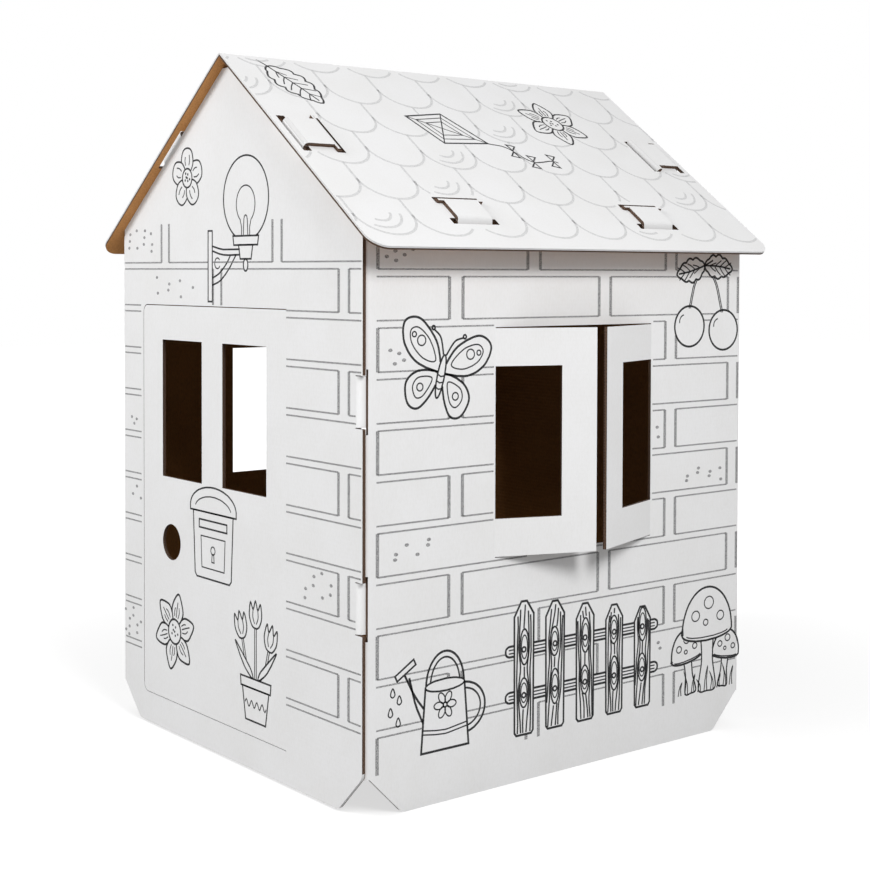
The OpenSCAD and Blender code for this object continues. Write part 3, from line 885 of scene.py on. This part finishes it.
# What is drawn on each face: the drawing, its place in metres, its turn in degrees and its size
drawings = {
    "front": [(roundFlower(), 0.240, 0.985, 18), (wallLamp(), 0.432, 0.940), (letterBox(), 0.326, 0.297),
              (starFlower(), 0.193, 0.185, 15), (tulipPot(), 0.462, 0.084, 0, 0.90)],
    "side": [(butterfly(), 0.150, 0.668, -14), (cherries(), 0.748, 0.836, 3, 1.05),
             (wateringCan(), 0.158, 0.078, 0, 1.05), (picketFence(), 0, 0),
             (mushrooms(), 0.757, 0.080, 0, 1.02)],
    "back": [(roundFlower(), 0.520, 0.985, 40), (starFlower(), 0.300, 0.930, 8), (tulipPot(), 0.200, 0.090),
             (butterfly(), 0.400, 0.560, 12, 1.2), (mushrooms(), 0.560, 0.110, 0, 1.1)],
    "left": [(cherries(), 0.140, 0.700, -6), (tulipPot(), 0.120, 0.084), (butterfly(), 0.740, 0.560, 10),
             (picketFence(), 0, 0), (starFlower(), 0.740, 0.250, 20)],
    "roofRight": [(lobedLeaf(122, 40), 0.058, -0.028, -64), (kite(), 0.330, -0.190, 62, 1.1),
                  (starFlower(), 0.622, -0.143, 24)],
    "roofLeft": [(lobedLeaf(124, 36), 0.760, -0.030, -100), (butterfly(), 0.430, -0.190, 25, 1.1),
                 (starFlower(), 0.220, -0.150, 10)],
}
arts = {face: together(*(placed(*row) for row in rows)) for face, rows in drawings.items()}


def layDrawing(name, face):
    lines = [inkLine(path, width, closed) for path, width, closed in arts[face]["lines"]]
    layInk(name, face, "blackInk", lines)


for face in ("front", "side", "back", "left"):
    layDrawing(face + "_drawings", face)
print("drawings laid")

# Boxes that the bricks keep clear of: the corner tabs' bends, the door, and the window with its folds
tabBends = [(0.7440, z - 0.040, 0.80, z + 0.040) for z in (0.319, 0.629)]
doorClear = (0.072, 0.0, 0.5535, 0.7655)
windowClear = (0.2570, 0.366, 0.6165, 0.7395)
# Each wall: its courses, what they keep clear of, and its specks' boxes, counts and seeds
walls = {
    "front": ("gable", [doorClear] + tabBends,
              [(12, 858, 122, 902, 11, 1), (130, 776, 300, 815, 7, 2), (595, 308, 690, 360, 8, 3),
               (8, 150, 68, 202, 10, 4), (30, 540, 68, 560, 3, 5), (8, 400, 70, 436, 3, 6)]),
    "side": ("sideWall", [windowClear],
             [(38, 838, 104, 858, 5, 7), (44, 684, 78, 720, 4, 8), (54, 386, 138, 415, 6, 9),
              (680, 450, 796, 478, 8, 10), (622, 530, 634, 560, 2, 11), (634, 158, 640, 182, 2, 12)]),
    "back": ("gable", tabBends, [(12, 858, 122, 902, 11, 1), (595, 308, 690, 360, 8, 3)]),
    "left": ("sideWall", [windowClear], [(44, 464, 104, 500, 5, 8), (680, 610, 796, 638, 8, 10)]),
}
for face, (kind, clear, specks) in walls.items():
    layBricks(face, kind, clear + arts[face]["masks"], specks)
print("brickwork laid")

# Roof shingles: rows of U-shaped scales, each row moved along by its own shift.
shingles = {"wide": 0.1115, "tall": 0.0955, "bend": 0.052, "line": 0.0046, "scales": 10,
            "firstFoot": 0.030, "start": -0.1305, "shifts": (0.008, 0.070, 0.030, 0.100, 0.055, 0.020)}
panel = 0.53875                                    # the roof panel's length down the slope
roofEdges = [(-1, -1, -0.0165, 1), (0.8625, -1, 2, 1), (-1, -0.004, 2, 1), (-1, -1, 2, -0.5365)]
tabPlaces = [(-0.02, -0.287, 0.075, -0.184), (0.770, -0.287, 0.866, -0.184),
             (0.165, -0.486, 0.269, -0.398), (0.577, -0.486, 0.681, -0.398)]


# The foot row is laid first and each row above hides what runs behind its scales.
def layShingles(name, face):
    bend, wide, tall = shingles["bend"], shingles["wide"], shingles["tall"]
    lines = []
    for row, shift in enumerate(shingles["shifts"]):
        foot = shingles["firstFoot"] + row * tall - panel
        head = foot + 1.45 * tall
        rowLines, rowLoops = [], []
        for k in range(shingles["scales"]):
            left = shingles["start"] + shift + k * wide
            bowl = arc(left + wide / 2, foot + bend, wide / 2, bend, 180, 360, 33)
            rowLines.append(np.concatenate([straight(left, head, left, foot + bend), bowl[1:]]))
            rowLoops.append(np.concatenate([bowl, [(left + wide, head), (left, head)]]))
            if (k * 3 + row * 2) % 5 == 3:         # a few scales have two strokes inside
                middle = (left + 0.42 * wide, foot + 1.15 * bend)
                rowLines += [arc(*middle, 0.62 * wide * size, 1.3 * bend * size, 230, 345, 17, 8)
                             for size in (0.36, 0.62)]
        lines = cutBehind(lines, rowLoops) + [(path, shingles["line"], False) for path in rowLines]
    clear = tabPlaces + arts[face]["masks"] + roofEdges
    shapes = [inkLine(run, width) for path, width, closed in lines for run in keepClear(path, clear)]
    layInk(name, face, "paleInk", shapes)


layDrawing("roof_right_drawings", "roofRight")
layDrawing("roof_left_drawings", "roofLeft")
layShingles("roof_right_shingles", "roofRight")
layShingles("roof_left_shingles", "roofLeft")
print("shingles laid")

# The camera's own numbers, found from the photographed corners
view = {"focal": 1574.66, "yaw": 0.899712, "pitch": 0.02618, "roll": 0.002603,
        "place": (2.27197, -1.78827, 0.82174), "middleRow": 314.13, "pixels": 870.0}


def placeCamera():
    camera = bpy.data.cameras.new("camera")
    camera.sensor_width = 36.0
    camera.lens = view["focal"] * 36.0 / view["pixels"]
    camera.shift_y = (view["middleRow"] - view["pixels"] / 2) / view["pixels"]
    camera.clip_end = 60.0
    yaw, pitch, roll = view["yaw"], view["pitch"], view["roll"]
    ahead = Vector((-math.sin(yaw) * math.cos(pitch), math.cos(yaw) * math.cos(pitch), -math.sin(pitch)))
    level = Vector((math.cos(yaw), math.sin(yaw), 0.0))
    above = level.cross(ahead)
    right = math.cos(roll) * level + math.sin(roll) * above
    above = math.cos(roll) * above - math.sin(roll) * level
    holder = bpy.data.objects.new("camera", camera)
    holder.matrix_world = Matrix((
        (right.x, above.x, -ahead.x, view["place"][0]), (right.y, above.y, -ahead.y, view["place"][1]),
        (right.z, above.z, -ahead.z, view["place"][2]), (0, 0, 0, 1)))
    bpy.context.scene.collection.objects.link(holder)
    bpy.context.scene.camera = holder


placeCamera()

lamps = {
    "sideSoftbox": {"place": (3.4, -0.8, 2.9), "aim": (0.3, -0.1, 0.6), "size": 1.5, "watts": 104.0},
    "frontSoftbox": {"place": (-0.7, -3.7, 3.0), "aim": (0.0, -0.3, 0.7), "size": 2.0, "watts": 106.0},
}
for name, lamp in lamps.items():
    light = bpy.data.lights.new(name, "AREA")
    light.shape = "DISK"
    light.size = lamp["size"]
    light.energy = lamp["watts"]
    holder = bpy.data.objects.new(name, light)
    holder.location = lamp["place"]
    aim = Vector(lamp["aim"]) - Vector(lamp["place"])
    holder.rotation_euler = aim.to_track_quat("-Z", "Y").to_euler()
    bpy.context.scene.collection.objects.link(holder)


# The world lights evenly at a low strength, and is plain white where it is seen.
def makeWorld():
    world = bpy.data.worlds.new("studio")
    bpy.context.scene.world = world
    tree = blankTree(world)
    ambient = addNode(tree, "ShaderNodeBackground", 150, 100, {"Strength": 0.38, "Color": (1, 1, 1)})
    backdrop = addNode(tree, "ShaderNodeBackground", 150, -100, {"Color": (1, 1, 1)})
    path = addNode(tree, "ShaderNodeLightPath", -400, 0)
    seen = mathNode(tree, "MAXIMUM", path.outputs["Is Camera Ray"], path.outputs["Is Glossy Ray"], -200, 0)
    seen = mathNode(tree, "MAXIMUM", seen, path.outputs["Is Transmission Ray"], 0, 0)
    mixer = addNode(tree, "ShaderNodeMixShader", 400, 0,
                    {0: seen, 1: ambient.outputs[0], 2: backdrop.outputs[0]})
    addNode(tree, "ShaderNodeOutputWorld", 600, 0, {0: mixer.outputs[0]})


def makeFloor():
    material = bpy.data.materials.new("paleFloor")
    tree = blankTree(material)
    matt = addNode(tree, "ShaderNodeBsdfDiffuse", 150, 100, {"Color": (0.42, 0.42, 0.42)})
    # the camera sees the floor fade to the white backdrop away from the house
    path = addNode(tree, "ShaderNodeLightPath", -200, -100)
    coordinates = addNode(tree, "ShaderNodeTexCoord", -900, -300)
    away = addNode(tree, "ShaderNodeVectorMath", -700, -300, {0: coordinates.outputs["Object"]},
                   operation="LENGTH")
    fade = smoothRange(tree, away.outputs["Value"], 0.6, 2.6, -500, -300, 0.66, 1.0)
    glow = addNode(tree, "ShaderNodeEmission", 150, -100, {
        "Strength": mathNode(tree, "MULTIPLY", path.outputs["Is Camera Ray"], fade, 0, -100)})
    adder = addNode(tree, "ShaderNodeAddShader", 400, 0, {0: matt.outputs[0], 1: glow.outputs[0]})
    addNode(tree, "ShaderNodeOutputMaterial", 600, 0, {0: adder.outputs[0]})
    mesh = bpy.data.meshes.new("floor")
    mesh.from_pydata([(-14, -14, 0), (14, -14, 0), (14, 14, 0), (-14, 14, 0)], [], [(0, 1, 2, 3)])
    mesh.materials.append(material)
    floor = bpy.data.objects.new("floor", mesh)
    bpy.context.scene.collection.objects.link(floor)


makeWorld()
makeFloor()
bpy.context.scene.view_settings.view_transform = "Standard"
print("camera, light and floor placed")
